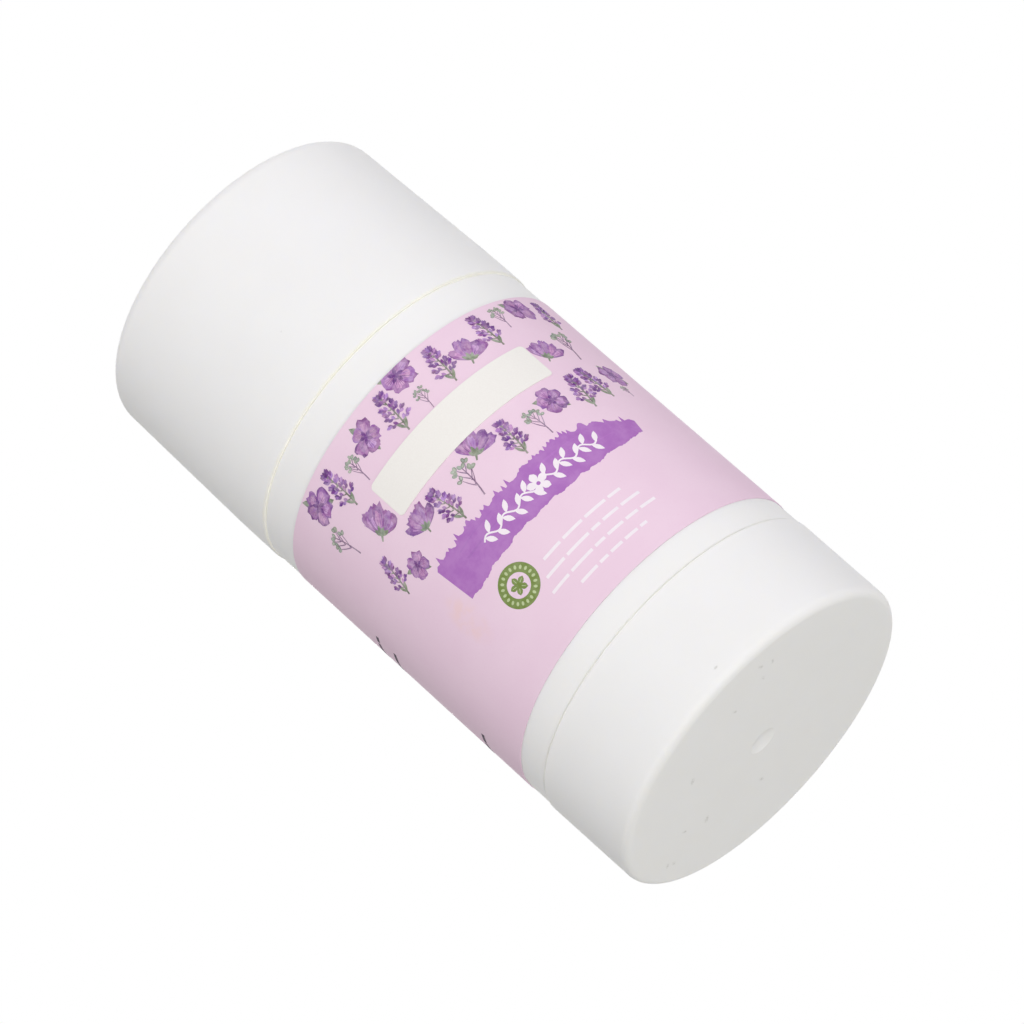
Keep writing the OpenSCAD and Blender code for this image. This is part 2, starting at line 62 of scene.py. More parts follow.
def camera():
    """The photograph's view: from the front, below the foot's level, and rolled."""
    view = Vector((0, math.cos(BELOW_HORIZON), math.sin(BELOW_HORIZON)))
    up = (Vector((0, 0, 1)) - view * view.z).normalized()
    side = view.cross(up)
    middle = PHOTO_SIZE / 2
    right, down = ((aim - middle) / FOCAL_PX for aim in AIM_PX)
    ray = Vector((right, -down, -1)).normalized()
    up_seen = Vector((math.sin(ROLL), math.cos(ROLL), 0))
    up_seen = (up_seen - ray * up_seen.dot(ray)).normalized()
    side_seen = ray.cross(up_seen)
    world_to_camera = Matrix((side_seen, up_seen, ray)).transposed() @ Matrix((side, up, view))
    to_world = world_to_camera.transposed()
    place = AIM - to_world @ (ray * DISTANCE)

    data = bpy.data.cameras.new("camera")
    data.sensor_width = SENSOR_MM
    data.lens = FOCAL_PX * SENSOR_MM / PHOTO_SIZE
    data.clip_start = 0.01
    obj = bpy.data.objects.new("camera", data)
    bpy.context.scene.collection.objects.link(obj)
    obj.matrix_world = Matrix.Translation(place) @ to_world.to_4x4()
    bpy.context.scene.camera = obj


camera()


# Materials

class Graph:
    """A material's nodes, with the shader at the end."""

    def __init__(self, name, roughness, specular=0.5):
        self.material = bpy.data.materials.new(name)
        self.material.use_nodes = True
        self.tree = self.material.node_tree
        self.shader = self.tree.nodes["Principled BSDF"]
        self.shader.inputs["Roughness"].default_value = roughness
        self.shader.inputs["Specular IOR Level"].default_value = specular

    def add(self, kind, links=None, **settings):
        """A node, with its inputs linked or set by name or number, and its settings."""
        node = self.tree.nodes.new(kind)
        for key, value in settings.items():
            setattr(node, key, value)
        for key, value in (links or {}).items():
            self.feed(node.inputs[key], value)
        return node

    def feed(self, socket, value):
        if isinstance(value, bpy.types.NodeSocket):
            self.tree.links.new(value, socket)
        else:
            socket.default_value = value

    def place(self):
        """Where a point of the surface is, in metres."""
        return self.add("ShaderNodeTexCoord").outputs["Object"]

    def noise(self, size_mm, detail=3.0, roughness=0.5, place=None):
        """Noise from 0 to 1 with features of a size in millimetres."""
        node = self.add("ShaderNodeTexNoise", {
            "Vector": place or self.place(), "Scale": 1 / (size_mm * MM),
            "Detail": detail, "Roughness": roughness,
        })
        return node.outputs["Fac"]

    def math(self, operation, a, b=0.0):
        return self.add("ShaderNodeMath", {0: a, 1: b}, operation=operation).outputs[0]

    def vector(self, operation, a, b):
        return self.add("ShaderNodeVectorMath", {0: a, 1: b}, operation=operation).outputs[0]

    def length(self, vector):
        return self.add("ShaderNodeVectorMath", {0: vector}, operation="LENGTH").outputs["Value"]

    def span(self, value, low, high, to_low=0.0, to_high=1.0):
        """A value carried smoothly from one range to another."""
        node = self.add("ShaderNodeMapRange", {
            "Value": value, "From Min": low, "From Max": high, "To Min": to_low, "To Max": to_high,
        }, interpolation_type="SMOOTHSTEP")
        return node.outputs["Result"]

    def mix(self, share, a, b):
        node = self.add("ShaderNodeMix", data_type="RGBA")
        self.feed(node.inputs["Factor"], share)
        for socket, value in zip((node.inputs[6], node.inputs[7]), (a, b)):
            self.feed(socket, value if isinstance(value, bpy.types.NodeSocket) else (*value, 1))
        return node.outputs[2]

    def blend(self, share, a, b):
        """One node's shader turned into another's by a share."""
        return self.add("ShaderNodeMixShader", {0: share, 1: a.outputs[0], 2: b.outputs[0]})

    def paint(self, colour):
        self.feed(self.shader.inputs["Base Color"], colour)

    def glow_through(self, share, reach_mm):
        """Lets light wander under the surface, a little further in red than in blue."""
        self.feed(self.shader.inputs["Subsurface Weight"], share)
        self.shader.inputs["Subsurface Radius"].default_value = (1, 0.93, 0.78)
        self.shader.inputs["Subsurface Scale"].default_value = reach_mm * MM

    def paint_gap_glow(self, share, tint):
        """Painted glow in narrow gaps: emission that stands in for the light translucent plastic
        lets through.
        """
        self.shader.inputs["Emission Color"].default_value = (*tint, 1)
        self.feed(self.shader.inputs["Emission Strength"], share)

    def bump(self, layers):
        """Bump from layers of (height, depth in millimetres)."""
        normal = None
        for height, depth_mm in layers:
            node = self.add("ShaderNodeBump", {
                "Height": height, "Distance": depth_mm * MM, "Strength": 1.0,
            })
            if normal:
                self.feed(node.inputs["Normal"], normal)
            normal = node.outputs["Normal"]
        self.feed(self.shader.inputs["Normal"], normal)

    def near(self, point, reach_mm, stretch=(1, 1, 1)):
        """1 close to a point, falling to 0 at a distance that may differ along each axis."""
        away = self.vector("SUBTRACT", self.place(), point)
        scale = [1 / (reach_mm * MM * s) for s in stretch]
        return self.span(self.length(self.vector("MULTIPLY", away, scale)), 0.3, 1, 1, 0)


WHITE = (0.9, 0.9, 0.91)
WARM_WHITE = (0.885, 0.88, 0.875)
SEAM_TINT = (0.88, 0.865, 0.74)
PAINTED_SEAM_GLOW = (1, 0.985, 0.93)
# How deep under the rim a seam's painted glow starts and is full, and how far along the axis it
# fades
SEAM_DEPTHS_MM = (0.1, 0.4)
SEAM_REACH_MM = (0.5, 1)
SCUFF = (0.3, 0.29, 0.26)
SCUFF_STRENGTH = 0.36
SCUFF_DEPTH_MM = 0.02


def white_plastic(name, rim, seams=(), scuffs=()):
    """Satin moulded polypropylene of a piece with a rim radius in mm.

    seams are (height, reach in mm, strength of the tint, painted glow in the gap) at a joint.
    scuffs are (point, length in mm, width in mm, turn in degrees) of small marks.
    """
    g = Graph(name, roughness=0.5, specular=0.12)
    colour = g.mix(g.noise(9, 2), WHITE, WARM_WHITE)
    height = g.add("ShaderNodeSeparateXYZ", {0: g.place()}).outputs["Z"]
    radius = g.length(g.vector("MULTIPLY", g.place(), (1, 1, 0)))
    outer, inner = (rim - depth for depth in SEAM_DEPTHS_MM)
    inside = g.span(radius, inner * MM, outer * MM, 1, 0)
    # glow gathers the painted glow of every joint, strongest at its height
    glow = 0.0
    for level, reach_mm, strength, light in seams:
        away = g.math("ABSOLUTE", g.math("SUBTRACT", height, level))
        near, far = SEAM_REACH_MM
        glow = g.math("MAXIMUM", glow, g.span(away, near * MM, far * MM, light, 0))
        reach = reach_mm * MM
        wander = g.math("MULTIPLY", g.noise(2.2, 3), 0.9 * reach)
        share = g.span(g.math("ADD", away, wander), 0.35 * reach, 1.25 * reach, strength, 0)
        colour = g.mix(share, colour, SEAM_TINT)
    g.glow_through(0.3, 1.5)
    # Painted glow: emission just inside the rim at each joint, lighting the gap as if light came
    # through the plastic
    g.paint_gap_glow(g.math("MULTIPLY", glow, inside), PAINTED_SEAM_GLOW)
    marks = None
    for point, length_mm, width_mm, turn in scuffs:
        turned = g.add("ShaderNodeVectorRotate", {
            "Vector": g.vector("SUBTRACT", g.place(), point), "Angle": math.radians(-turn),
        }, rotation_type="Z_AXIS").outputs[0]
        scale = [2 / (size * MM) for size in (width_mm, length_mm, width_mm)]
        mark = g.span(g.length(g.vector("MULTIPLY", turned, scale)), 0.2, 1.1, 1, 0)
        marks = g.math("MAXIMUM", marks, mark) if marks else mark
    grain = g.noise(0.32, 2)
    layers = [(g.noise(7, 1), 0.035), (grain, 0.004)]
    if marks:
        marks = g.math("MULTIPLY", marks, g.span(g.noise(0.3, 2), 0.38, 0.6))
        colour = g.mix(g.math("MULTIPLY", marks, SCUFF_STRENGTH), colour, SCUFF)
        layers.append((g.math("MULTIPLY", marks, -1.0), SCUFF_DEPTH_MM))
    g.paint(colour)
    g.feed(g.shader.inputs["Roughness"], g.span(g.noise(3.5, 3), 0.3, 0.7, 0.46, 0.54))
    g.bump(layers)
    return g.material


def inner_plastic():
    """Plain polypropylene of the parts that don't show, with faint drag lines round the axis."""
    g = Graph("inner_plastic", roughness=0.5)
    lines = g.noise(0.9, 3, place=g.vector("MULTIPLY", g.place(), (0.3, 0.3, 2.5)))
    g.paint(g.mix(g.span(lines, 0.35, 0.65), (0.86, 0.86, 0.85), (0.8, 0.8, 0.78)))
    g.bump([(lines, 0.01)])
    return g.material


def wax():
    """The stick: soft, faintly cloudy, with shallow pour marks."""
    g = Graph("wax", roughness=0.38)
    g.glow_through(0.25, 2)
    cloud = g.noise(5, 4)
    g.paint(g.mix(g.span(cloud, 0.3, 0.7), (0.9, 0.885, 0.83), (0.86, 0.84, 0.77)))
    g.bump([(g.noise(3, 3), 0.05), (g.noise(0.5, 2), 0.012)])
    return g.material


PINK = (0.866, 0.667, 0.798)
DEEPER_PINK = (0.852, 0.645, 0.783)
PINK_FLECK = (0.835, 0.607, 0.752)
PEACH = (0.88, 0.62, 0.6)


def label_film(smudge):
    """Satin film in pale pink, with the paper's grain and a faint peach smudge."""
    g = Graph("label_film", roughness=0.5, specular=0.03)
    cloud = g.span(g.noise(7, 3), 0.3, 0.7)
    colour = g.mix(cloud, PINK, DEEPER_PINK)
    fleck = g.span(g.noise(0.3, 2), 0.55, 0.75, 0, 0.35)
    colour = g.mix(fleck, colour, PINK_FLECK)
    spot = g.near(smudge, 5.5, (0.5, 0.6, 1))
    patchy = g.span(g.noise(1.6, 3), 0.35, 0.65, 0.12, 0.5)
    g.paint(g.mix(g.math("MULTIPLY", spot, patchy), colour, PEACH))
    g.bump([(g.noise(0.28, 3), 0.006)])
    return g.material


def strip_film():
    """Plain off-white sticker with a fine tooth."""
    g = Graph("strip_film", roughness=0.6, specular=0.1)
    tooth = g.noise(0.22, 3)
    g.paint(g.mix(g.span(tooth, 0.3, 0.7), (0.89, 0.872, 0.842), (0.872, 0.85, 0.82)))
    g.bump([(tooth, 0.008)])
    return g.material


def ink(name, wash=1.0, pool_mm=0.9):
    """Printed ink: each shape's own tint, with pools and thin places as strong as wash says."""
    g = Graph(name, roughness=0.48, specular=0.05)
    tint = g.add("ShaderNodeAttribute", attribute_name="tint").outputs["Color"]
    darker = (1 - 0.2 * wash, 1 - 0.26 * wash, 1 - 0.14 * wash)
    pools = g.vector("MULTIPLY", tint, darker)
    thin = g.mix(0.22 * wash, tint, (0.86, 0.72, 0.85))
    g.paint(g.mix(g.span(g.noise(pool_mm, 4, 0.65), 0.35, 0.65), pools, thin))
    g.bump([(g.noise(0.28, 3), 0.005)])
    return g.material


# The label's drum and the fields that its print is laid out in

def outer_radius(node):
    return max(math.hypot(v.co.x, v.co.y) for v in nodes[node].data.vertices) / MM


label_r = outer_radius("label")
label_z0, label_z1 = (corner.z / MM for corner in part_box("label"))
strip_z0, strip_z1 = (corner.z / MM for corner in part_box("blank_strip"))
BAND_H = 7
FREE_H = label_z1 - label_z0 - (strip_z1 - strip_z0) - BAND_H
FOOT_SHARE = 0.478
BAND_Z = FREE_H * FOOT_SHARE
BAND_W = 36
BAND_ANGLE = 13.2

# Fields as (lower edge, height) above the label's lower edge
TOP = (strip_z1 - label_z0, label_z1 - strip_z1)
SIDE = (strip_z0 - label_z0, strip_z1 - strip_z0)
LOW = (BAND_Z + BAND_H, strip_z0 - label_z0 - BAND_Z - BAND_H)
MOTIF = min(TOP[1], LOW[1], 1.3 * SIDE[1], 2 * math.pi * label_r / 20)
BLOSSOM_D = 0.73 * MOTIF
SPRAY_L = 0.94 * MOTIF
TWIG_L = 0.81 * MOTIF

# Motifs as (field, share of its height, angle, lean, share of the largest size)
BLOSSOMS = [
    (TOP, 0.66, -39.5, 10, 1), (TOP, 0.56, -11, 40, 0.92), (TOP, 0.87, 9, -15, 1),
    (TOP, 0.42, 31, 25, 0.88), (TOP, 0.72, 59, 0, 0.95), (SIDE, 0.66, 52, 30, 0.84),
    (SIDE, 0.4, -28, 50, 0.98), (LOW, 0.63, 68, 15, 0.84), (LOW, 0.3, -31, -20, 0.74),
    (LOW, 0.71, -19, 5, 0.84), (LOW, 0.84, 9.5, 35, 0.91), (LOW, 0.57, 37, -10, 0.88),
]
SPRAYS = [
    (TOP, 0.05, -29.2, 0, 0.96), (TOP, 0.06, -0.5, 4, 0.97), (TOP, 0.1, 20.5, 4, 0.93),
    (TOP, 0.16, 41.5, -4, 0.9), (TOP, 0.12, 69.5, 6, 0.86), (LOW, 0.12, 57.5, -10, 0.92),
    (LOW, 0.22, -41, 12, 0.84), (LOW, 0.03, -9, -8, 0.93), (LOW, 0.03, 18, 4, 0.9),
    (LOW, 0.05, 47.5, 8, 0.92),
]
TWIGS = [
    (TOP, 0.08, -20.2, -2, 0.76), (TOP, 0.02, 9.5, 4, 0.6), (TOP, 0.4, 49.5, 2, 0.7),
    (SIDE, 0.14, 61.5, 10, 1), (SIDE, 0.5, -42, -14, 0.95), (LOW, 0.05, 0, 6, 0.98),
    (LOW, 0.04, 28.6, -4, 0.8), (LOW, 0.04, 66.5, -6, 0.38),
]

# The drum that the print lies on is flat between steps of this arc, so that shapes stack cleanly
STEP = 1.0
FIRST_LIFT = 0.015
NEXT_LIFT = 0.0003
UNDERSIDE = -0.03
CUT_TOLERANCE = 1e-5


def drum_point(x, y, lift):
    """The point, in metres, at arc x and height y over the label's lower edge, off its face."""
    k = math.floor(x / STEP)
    t = x / STEP - k
    a, b = k * STEP / label_r, (k + 1) * STEP / label_r
    r = label_r + lift
    across = r * ((1 - t) * math.sin(a) + t * math.sin(b))
    outward = r * ((1 - t) * math.cos(a) + t * math.cos(b))
    return Vector((across, -outward, label_z0 + y)) * MM


def cut_flat(outline):
    """A flat mesh of the outline, cut at the drum's steps and at the label's edges."""
    bm = bmesh.new()
    bm.faces.new([bm.verts.new((x, y, 0)) for x, y in outline])
    bm.normal_update()
    if bm.faces[:][0].normal.z < 0:
        bmesh.ops.reverse_faces(bm, faces=bm.faces[:])
    bmesh.ops.triangulate(bm, faces=bm.faces[:])
    xs = [x for x, y in outline]
    steps = range(math.ceil(min(xs) / STEP), math.ceil(max(xs) / STEP))
    cuts = [((k * STEP, 0, 0), (1, 0, 0), False) for k in steps]
    cuts += [((0, 0, 0), (0, -1, 0), True), ((0, label_z1 - label_z0, 0), (0, 1, 0), True)]
    for point, normal, clear in cuts:
        geometry = bm.verts[:] + bm.edges[:] + bm.faces[:]
        bmesh.ops.bisect_plane(
            bm, geom=geometry, dist=CUT_TOLERANCE, plane_co=point, plane_no=normal,
            clear_outer=clear)
    bmesh.ops.triangulate(bm, faces=bm.faces[:])
    bm.verts.index_update()
    return bm


class Print:
    """Flat shapes on the label, each a thin closed film at its own level."""

    def __init__(self, level=0):
        self.shapes = []
        self.level = level

    def add(self, outline, tint, at=(0, 0), turn=0.0):
        """A shape over the ones before it, its outline turned and moved to its arc and height."""
        c, s = math.cos(math.radians(turn)), math.sin(math.radians(turn))
        placed = [(at[0] + c * x - s * y, at[1] + s * x + c * y) for x, y in outline]
        self.shapes.append((placed, tint, self.level))
        self.level += 1

    def join(self, other, at, turn=0.0):
        """Another print's shapes, turned and moved, at their own levels."""
        for outline, tint, self.level in other.shapes:
            self.add(outline, tint, at, turn)

    def build(self, name, node, slot, material):
        verts, faces, normals, tints = [], [], [], []
        for outline, tint, level in self.shapes:
            bm = cut_flat(outline)
            count = len(bm.verts)
            first = len(verts)
            lift = FIRST_LIFT + NEXT_LIFT * level
            verts += [drum_point(v.co.x, v.co.y, lift) for v in bm.verts]
            verts += [drum_point(v.co.x, v.co.y, UNDERSIDE) for v in bm.verts]
            tints += [(*tint, 1)] * (2 * count)
            arcs = [v.co.x / label_r for v in bm.verts]
            out = [Vector((math.sin(a), -math.cos(a), 0)) for a in arcs]
            for face in bm.faces:
                ring = [v.index for v in face.verts]
                faces.append([first + i for i in ring])
                normals += [out[i] for i in ring]
                faces.append([first + count + i for i in reversed(ring)])
                normals += [-out[i] for i in reversed(ring)]
            for edge in bm.edges:
                if len(edge.link_loops) == 1:
                    loop = edge.link_loops[0]
                    a, b = loop.vert.index, loop.link_loop_next.vert.index
                    faces.append([first + b, first + a, first + count + a, first + count + b])
                    along = verts[first + b] - verts[first + a]
                    normals += [along.cross(out[a]).normalized()] * 4
            bm.free()
        mesh = bpy.data.meshes.new(name)
        mesh.from_pydata(verts, [], faces)
        attribute = mesh.color_attributes.new("tint", "FLOAT_COLOR", "POINT")
        attribute.data.foreach_set("color", [value for tint in tints for value in tint])
        mesh.shade_smooth()
        mesh.normals_split_custom_set(normals)
        mesh.materials.append(material)
        piece = bpy.data.objects.new(name, mesh)
        bpy.context.scene.collection.objects.link(piece)
        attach(piece, "barrel")
        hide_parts(node)
        return piece


# Flat drawings, in millimetres

def tinted(tint, rng, spread=0.12):
    """The tint made a little lighter or darker, and a little redder or bluer."""
    light = 1 + rng.uniform(-spread, spread)
    warm = rng.uniform(-spread, spread) / 3
    return (tint[0] * light * (1 + warm), tint[1] * light, tint[2] * light * (1 - warm))


def ellipse(a, b, n=12, at=(0, 0)):
    turns = [2 * math.pi * i / n for i in range(n)]
    return [(at[0] + a * math.cos(t), at[1] + b * math.sin(t)) for t in turns]


def lens(length, width, n=5, belly=0.5):
    """A pointed leaf from the origin up the y axis, widest at a share of its length."""
    def half(t):
        u = t / belly if t < belly else (1 - t) / (1 - belly)
        return width / 2 * math.sin(math.pi / 2 * u) ** 0.9
    right = [(half(i / n), length * i / n) for i in range(1, n)]
    return [(0, 0)] + right + [(0, length)] + [(-x, y) for x, y in reversed(right)]


def petal(length, width, rng, n=8):
    """A broad petal with an uneven rim."""
    points = []
    for i in range(2 * n):
        a = math.pi * i / n - math.pi / 2
        rim = 1 + rng.uniform(-0.07, 0.04) * (1 + math.sin(a))
        swell = 0.64 + 0.36 * math.sin(a)
        points.append((width / 2 * math.cos(a) * swell * rim, length / 2 * (1 + math.sin(a)) * rim))
    return points


def ribbon(path, start_w, end_w):
    """A tapering line along a path."""
    left, right = [], []
    for i, (x, y) in enumerate(path):
        x0, y0 = path[max(i - 1, 0)]
        x1, y1 = path[min(i + 1, len(path) - 1)]
        size = math.hypot(x1 - x0, y1 - y0)
        w = (start_w + (end_w - start_w) * i / (len(path) - 1)) / 2
        nx, ny = -(y1 - y0) / size * w, (x1 - x0) / size * w
        left.append((x + nx, y + ny))
        right.append((x - nx, y - ny))
    return right + left[::-1]


def bow(length, sag, n=5):
    """A path up the y axis that bows sideways."""
    return [(sag * math.sin(math.pi * i / n), length * i / n) for i in range(n + 1)]


def place_of(motif):
    field, share, angle, lean, size = motif
    return (math.radians(angle) * label_r, field[0] + field[1] * share), -lean, size


PETAL = (0.3, 0.125, 0.36)
PETAL_MIDDLE = (0.41, 0.195, 0.45)
PETAL_DARK = (0.2, 0.07, 0.27)
PETAL_LIGHT = (0.56, 0.32, 0.57)
BUD = (0.215, 0.075, 0.3)
BUD_LIGHT = (0.48, 0.26, 0.56)
BUD_TINTS = (BUD, BUD, PETAL, BUD_LIGHT, BUD_LIGHT)
STEM = (0.24, 0.27, 0.19)
LEAF = (0.25, 0.33, 0.2)
BERRY = (0.3, 0.38, 0.27)
BERRY_LIGHT = (0.44, 0.52, 0.4)
TWIG = (0.3, 0.2, 0.3)
OLIVE = (0.2, 0.285, 0.07)
OLIVE_LIGHT = (0.52, 0.62, 0.33)
PALE = (0.93, 0.86, 0.92)
BRUSH = (0.447, 0.183, 0.54)
DARK = (0.045, 0.03, 0.055)

# Levels that each kind of drawing starts at, so that where two cross one lies over the other
TWIG_LEVEL = 50
SPRAY_LEVEL = 120
GARLAND_LEVEL = 30


def washed_petal(art, length, width, turn, rng, at=(0, 0)):
    """A petal with a dark rim, a lighter wash in it and a few veins."""
    art.add(petal(length, width, rng), tinted(PETAL, rng, 0.25), at, turn)
    middle = petal(length * 0.93, width * 0.8, rng)
    art.add(middle, tinted(PETAL_MIDDLE, rng, 0.15), at, turn + rng.uniform(-4, 4))
    light = petal(length * 0.76, width * 0.55, rng)
    art.add(light, tinted(PETAL_LIGHT, rng, 0.2), at, turn + rng.uniform(-6, 6))
    for side in (-15, -4, 8, 18):
        line = [(0, length * 0.2), (0, length * rng.uniform(0.6, 0.85))]
        vein = ribbon(line, width * 0.05, width * 0.015)
        art.add(vein, tinted(PETAL_MIDDLE, rng, 0.25), at, turn + side)


def open_blossom(radius, rng):
    """Five broad petals of uneven size with a dark heart, over two small leaves."""
    art = Print()
    for turn in (rng.uniform(20, 60), rng.uniform(190, 250)):
        art.add(lens(radius * 1.08, radius * 0.42), tinted(LEAF, rng), turn=turn)
    for k in range(5):
        long = radius * rng.uniform(0.78, 1.03)
        washed_petal(art, long, radius * rng.uniform(1.05, 1.3), 72 * k + rng.uniform(-12, 12), rng)
    for k in range(5):
        art.add(lens(radius * 0.42, radius * 0.2), tinted(PETAL_DARK, rng), turn=72 * k + 36)
    art.add(ellipse(radius * 0.13, radius * 0.13, 10), tinted(PETAL_DARK, rng))
    return art


def side_blossom(radius, rng):
    """A blossom seen from the side: a fan of petals out of a green calyx."""
    art = Print()
    heel = (0, -radius * 0.72)
    for turn in (-46, 48, -22, 25, 2):
        long = radius * rng.uniform(1.28, 1.66)
        wide = radius * rng.uniform(0.85, 1.05)
        washed_petal(art, long, wide, turn + rng.uniform(-6, 6), rng, heel)
    for turn in (-58, 56, -16, 20):
        art.add(lens(radius * rng.uniform(0.42, 0.6), radius * 0.22), tinted(LEAF, rng), heel, turn)
    stalk = ribbon([(0, 0), (0, -radius * 0.27)], radius * 0.13, radius * 0.08)
    art.add(stalk, tinted(LEAF, rng), heel)
    return art


def blossom(radius, rng):
    drawing = rng.choice((open_blossom, side_blossom))
    return drawing(radius, rng)


def spray(length, rng):
    """A stem with pairs of side stalks, each with small oblong buds by turns dark and light."""
    art = Print(SPRAY_LEVEL)
    stem = ribbon(bow(length * 0.86, length * 0.03), length * 0.036, length * 0.02)
    art.add(stem, tinted(STEM, rng))
    for side in (-1, 1):
        leaf = lens(length * 0.24, length * 0.06)
        art.add(leaf, tinted(LEAF, rng), (0, length * 0.06), -side * 30)
    whorls = 6
    for i in range(whorls):
        reach = length * (0.2 - 0.024 * i)
        for side in (-1, 1):
            foot = (0, length * (0.2 + 0.12 * i + rng.uniform(-0.02, 0.02)))
            turn = -side * (60 - 6 * i) + rng.uniform(-7, 7)
            stalk = ribbon([(0, 0), (0, reach)], length * 0.018, length * 0.012)
            art.add(stalk, tinted(STEM, rng), foot, turn)
            a = math.radians(turn)
            for share, fan in ((0.35, 30), (0.6, -26), (0.92, 12), (1, -14)):
                at = (foot[0] - math.sin(a) * reach * share, foot[1] + math.cos(a) * reach * share)
                bud = lens(length * rng.uniform(0.105, 0.135), length * 0.062, n=4, belly=0.6)
                art.add(bud, tinted(rng.choice(BUD_TINTS), rng, 0.25), at, turn + side * fan)
    for turn in (-24, 22, 0):
        bud = lens(length * 0.15, length * 0.066, n=4, belly=0.6)
        art.add(bud, tinted(BUD, rng, 0.3), (0, length * 0.83), turn)
    return art


def twig(length, rng):
    """A forked stem with a cluster of oval berries at each tip."""
    art = Print(TWIG_LEVEL)
    stem = ribbon(bow(length * 0.82, length * 0.03), length * 0.034, length * 0.02)
    art.add(stem, tinted(TWIG, rng))
    tips = [((0, length * 0.78), 0)]
    for i in range(3):
        for side in (-1, 1):
            turn = -side * (29 + rng.uniform(-6, 6))
            reach = length * (0.37 - 0.06 * i) * rng.uniform(0.8, 1.08)
            foot = (0, length * (0.3 + 0.16 * i + rng.uniform(-0.03, 0.03)))
            branch = ribbon(bow(reach, side * reach * 0.03), length * 0.024, length * 0.014)
            art.add(branch, tinted(TWIG, rng), foot, turn)
            a = math.radians(turn)
            tips.append(((foot[0] - math.sin(a) * reach, foot[1] + math.cos(a) * reach), turn))
    for tip, turn in tips:
        for spread in (-40, 34):
            at = (0, length * rng.uniform(0.055, 0.085))
            way = turn + spread + rng.uniform(-12, 12)
            berry = ellipse(length * 0.044, length * 0.062, 10, at)
            art.add(berry, tinted(BERRY, rng, 0.22), tip, way)
            sheen = ellipse(length * 0.024, length * 0.038, 8, at)
            art.add(sheen, tinted(BERRY_LIGHT, rng, 0.12), tip, way)
    return art


# The pieces of the print

def ragged(t):
    """The brushed band's edge: a slow wave with two faster ones on it."""
    waves = ((0.45, 1.7, 0.7), (0.35, 6.3, 0), (0.3, 14.5, 0))
    return sum(size * math.sin(2 * math.pi * count * t + start) for size, count, start in waves)


def brush_band(material):
    """A brush stroke with a torn top and a few dry streaks."""
    rng = random.Random(3)
    n = 130
    top, foot = [], []
    for i in range(n + 1):
        t = i / n
        tear = 0.17 * rng.random() ** 5
        top.append((BAND_W * (t - 0.5), BAND_H * (0.88 - 0.45 * t ** 7 + 0.08 * ragged(t) + tear)))
        s = 1 - t
        nick = 0.012 * rng.uniform(-1, 1)
        rise = 0.1 * s ** 10 + 0.045 * ragged(t) + nick
        foot.append((BAND_W * 0.97 * (s - 0.5), BAND_H * rise))
    art = Print()
    at = (math.radians(BAND_ANGLE) * label_r, BAND_Z)
    art.add(top + foot, BRUSH, at)
    for k in range(8):
        line = bow(rng.uniform(4, 9), rng.uniform(-0.15, 0.15))
        streak = ribbon(line, rng.uniform(0.2, 0.45), 0.04)
        x = BAND_W * rng.uniform(-0.45, 0.25)
        y = BAND_H * rng.uniform(0.12, 0.8)
        art.add(streak, tinted(BRUSH, rng, 0.07), (at[0] + x, at[1] + y), -90)
    return art.build("brush_band_ink", "brush_band", "ink_purple", material)


def motifs_print(motifs, drawing, size, seed):
    art = Print()
    for k, motif in enumerate(motifs):
        at, turn, share = place_of(motif)
        art.join(drawing(size * share, random.Random(seed + k)), at, turn)
    return art


def blossom_print(material):
    art = motifs_print(BLOSSOMS, lambda d, rng: blossom(d / 2, rng), BLOSSOM_D, 100)
    return art.build("blossom_ink", "blossom_print", "ink_purple", material)


def spray_print(material):
    art = motifs_print(SPRAYS, spray, SPRAY_L, 200)
    return art.build("spray_ink", "spray_print", "ink_violet", material)


def twig_print(material):
    art = motifs_print(TWIGS, twig, TWIG_L, 300)
    return art.build("twig_ink", "twig_print", "ink_sage", material)


BADGE_D = 6.2
BADGE_HOLE_D = 3.5
BADGE_GAP = 1.4
BADGE_ANGLE = -13.7


def badge_print(material):
    """A round badge: an olive ring of light beads round a small flower."""
    art = Print()
    at = (math.radians(BADGE_ANGLE) * label_r, BAND_Z - BADGE_GAP - BADGE_D / 2)
    r = BADGE_D / 2
    hole_r = BADGE_HOLE_D / 2
    art.add(ellipse(r, r, 48), OLIVE, at)
    beads = 20
    middle = (r + hole_r) / 2
    for k in range(beads):
        a = 2 * math.pi * k / beads
        spot = (at[0] - middle * math.sin(a), at[1] + middle * math.cos(a))
        art.add(ellipse(0.2, 0.3, 8), OLIVE_LIGHT, spot, math.degrees(a))
    art.add(ellipse(hole_r, hole_r, 36), PINK, at)
    for k in range(5):
        art.add(lens(0.78 * hole_r, 0.5 * hole_r, belly=0.6), OLIVE, at, 72 * k)
        vein = ribbon([(0, 0.25 * hole_r), (0, 0.6 * hole_r)], 0.12, 0.05)
        art.add(vein, OLIVE_LIGHT, at, 72 * k)
    return art.build("badge_ink", "badge_print", "ink_olive", material)


BAR_MIN = 1.4
BAR_MAX = 4.2
BAR_GAP = 0.55
BAR_REST = 0.8


def bars(art, middle, y, length, thick, tint, rng):
    """A row of short bars of uneven length, in place of a line of print."""
    x = middle - length / 2
    end = middle + length / 2
    low, high = y - thick / 2, y + thick / 2
    while x < end - BAR_REST:
        w = min(rng.uniform(BAR_MIN, BAR_MAX), end - x)
        art.add([(x, low), (x + w, low), (x + w, high), (x, high)], tint)
        x += w + BAR_GAP


# Rows as (share of the height under the band, share of the full length)
RULES = [(0.667, 0.74), (0.533, 0.9), (0.4, 1), (0.26, 0.63)]
RULE_L = 19
RULE_H = 0.45
GARLAND_L = 21


def line_print(material):
    """A pale garland on the band, and four rows of pale bars under it."""
    rng = random.Random(5)
    art = Print()
    middle = math.radians(BAND_ANGLE) * label_r
    for share, length in RULES:
        bars(art, middle, BAND_Z * share, RULE_L * length, RULE_H, PALE, rng)
    art.join(garland(GARLAND_L), (middle, BAND_Z + BAND_H * 0.43))
    return art.build("line_ink", "line_print", "ink_pale", material)


